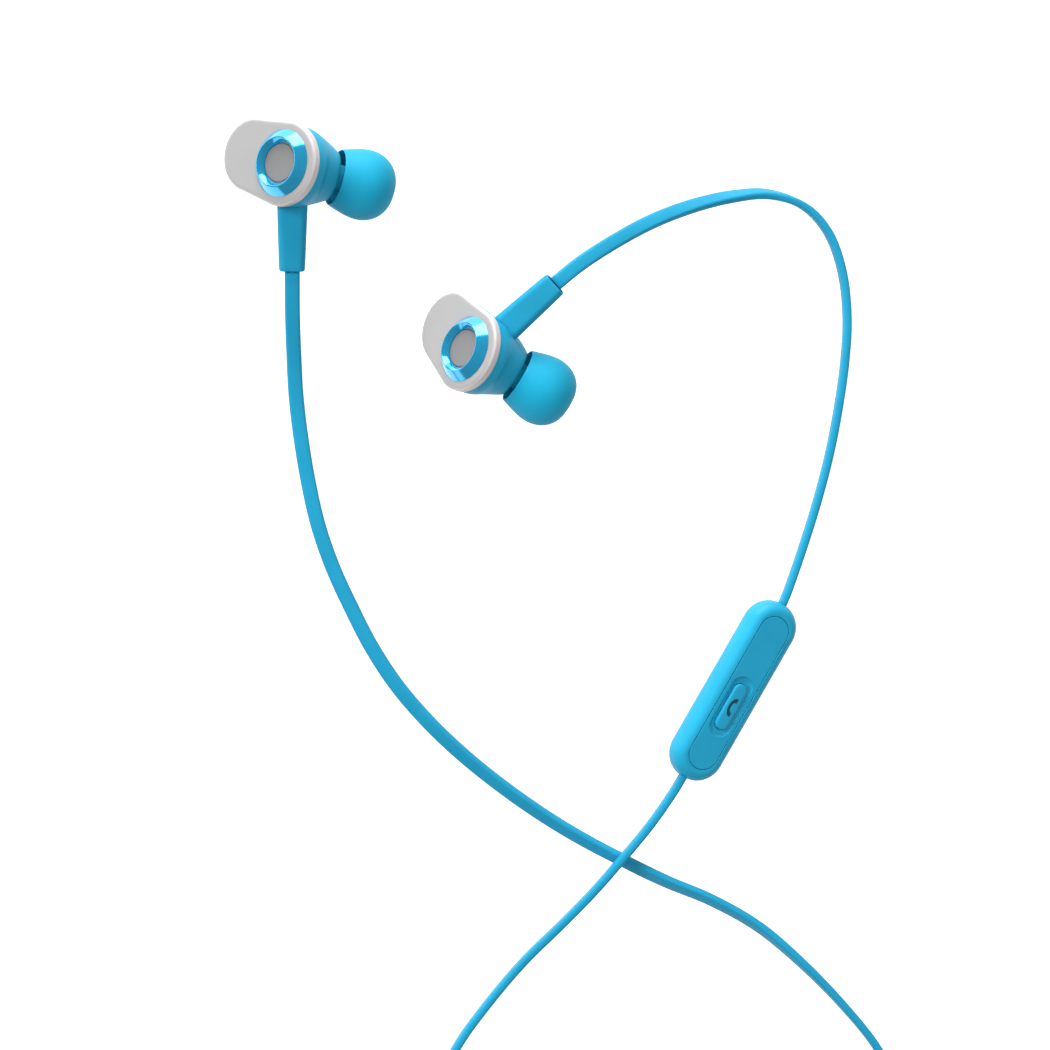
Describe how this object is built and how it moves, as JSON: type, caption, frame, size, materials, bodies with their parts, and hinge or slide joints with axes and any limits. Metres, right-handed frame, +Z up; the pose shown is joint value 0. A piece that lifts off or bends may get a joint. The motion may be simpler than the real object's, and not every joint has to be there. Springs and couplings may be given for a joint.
{
  "type": "wired in-ear earphones",
  "caption": "Wired in-ear earphones: angled buds with pill faceplates and silicone tips, flat cord, one-key in-line remote, Y-splitter and four-pole 3.5 mm plug.",
  "frame": {"origin": "on the surface they lie on, below the middle of the box round the earbuds and the remote", "axes": "+Z up from the surface, +Y towards the left earbud and away from the splitter and plug, +X to the right with the remote on the right"},
  "size_m": [0.1268, 0.2522, 0.0182],
  "materials": {
    "faceplate_silver": "fine satin metallic lacquer over a moulded plate",
    "ring_blue_metal": "polished, blue anodised",
    "disc_grey_metal": "fine spun satin",
    "housing_blue": "satin moulded plastic",
    "inlay_blue": "satin, slightly glossier than the shell",
    "tip_silicone": "matte silicone rubber",
    "relief_blue": "matte elastomer overmould",
    "cord_blue": "matte extruded elastomer jacket",
    "steel_mesh": "woven wire",
    "driver_steel": "plated stamping",
    "magnet_nickel": "nickel plated",
    "frame_grey": "moulded plastic",
    "coil_copper": "enamelled copper winding",
    "diaphragm_film": "thin polyester film",
    "board_green": "solder mask",
    "gasket_black": "foam rubber",
    "plug_plating": "nickel plated brass",
    "insulator_black": "moulded plastic",
    "tie_black": "soft moulded strap"
  },
  "bodies": {
    "earphones": {"left_faceplate": "faceplate_silver", "left_trim_ring": "ring_blue_metal", "left_badge_disc": "disc_grey_metal", "left_housing": "housing_blue", "left_nozzle_mesh": "steel_mesh", "left_strain_relief": "relief_blue", "left_terminal_board": "board_green", "left_driver_yoke": "driver_steel", "left_driver_magnet": "magnet_nickel", "left_driver_pole_plate": "driver_steel", "left_driver_frame": "frame_grey", "left_driver_cover": "driver_steel", "right_faceplate": "faceplate_silver", "right_trim_ring": "ring_blue_metal", "right_badge_disc": "disc_grey_metal", "right_housing": "housing_blue", "right_nozzle_mesh": "steel_mesh", "right_strain_relief": "relief_blue", "right_terminal_board": "board_green", "right_driver_yoke": "driver_steel", "right_driver_magnet": "magnet_nickel", "right_driver_pole_plate": "driver_steel", "right_driver_frame": "frame_grey", "right_driver_cover": "driver_steel", "remote_top_shell": "housing_blue", "remote_bottom_shell": "housing_blue", "remote_inlay": "inlay_blue", "key_switch": "driver_steel", "remote_board": "board_green", "microphone": "driver_steel", "microphone_gasket": "gasket_black", "splitter_upper": "relief_blue", "splitter_lower": "relief_blue", "splitter_core": "frame_grey", "plug_relief": "relief_blue", "plug_grip": "relief_blue", "plug_collar": "plug_plating", "plug_sleeve": "plug_plating", "plug_microphone_ring": "plug_plating", "plug_right_ring": "plug_plating", "plug_tip": "plug_plating", "plug_insulator": "insulator_black", "left_cord": "cord_blue", "right_cord_upper": "cord_blue", "right_cord_lower": "cord_blue", "main_cord": "cord_blue", "cord_coil": "cord_blue", "main_cord_tail": "cord_blue", "cord_ties": "tie_black"},
    "left_tip": {"left_ear_tip": "tip_silicone"},
    "right_tip": {"right_ear_tip": "tip_silicone"},
    "key": {"call_key": "inlay_blue"},
    "left_cone": {"left_diaphragm": "diaphragm_film", "left_voice_coil": "coil_copper"},
    "right_cone": {"right_diaphragm": "diaphragm_film", "right_voice_coil": "coil_copper"}
  },
  "joints": [
    {"name": "left_tip_slide", "type": "slide", "parent": "earphones", "child": "left_tip", "axis": [0.9391, -0.2059, -0.2751], "range_m": [0, 0.006]},
    {"name": "right_tip_slide", "type": "slide", "parent": "earphones", "child": "right_tip", "axis": [0.8629, -0.4931, -0.1104], "range_m": [0, 0.006]},
    {"name": "call_key_press", "type": "slide", "parent": "earphones", "child": "key", "axis": [-0.2524, 0.1475, -0.9563], "range_m": [0, 0.0003], "stiffness_N_per_m": 2000},
    {"name": "left_cone_travel", "type": "slide", "parent": "earphones", "child": "left_cone", "axis": [-0.6595, 0.0647, 0.749], "range_m": [-0.00015, 0.00015], "stiffness_N_per_m": 100},
    {"name": "right_cone_travel", "type": "slide", "parent": "earphones", "child": "right_cone", "axis": [-0.7683, 0.2218, 0.6004], "range_m": [-0.00015, 0.00015], "stiffness_N_per_m": 100}
  ]
}
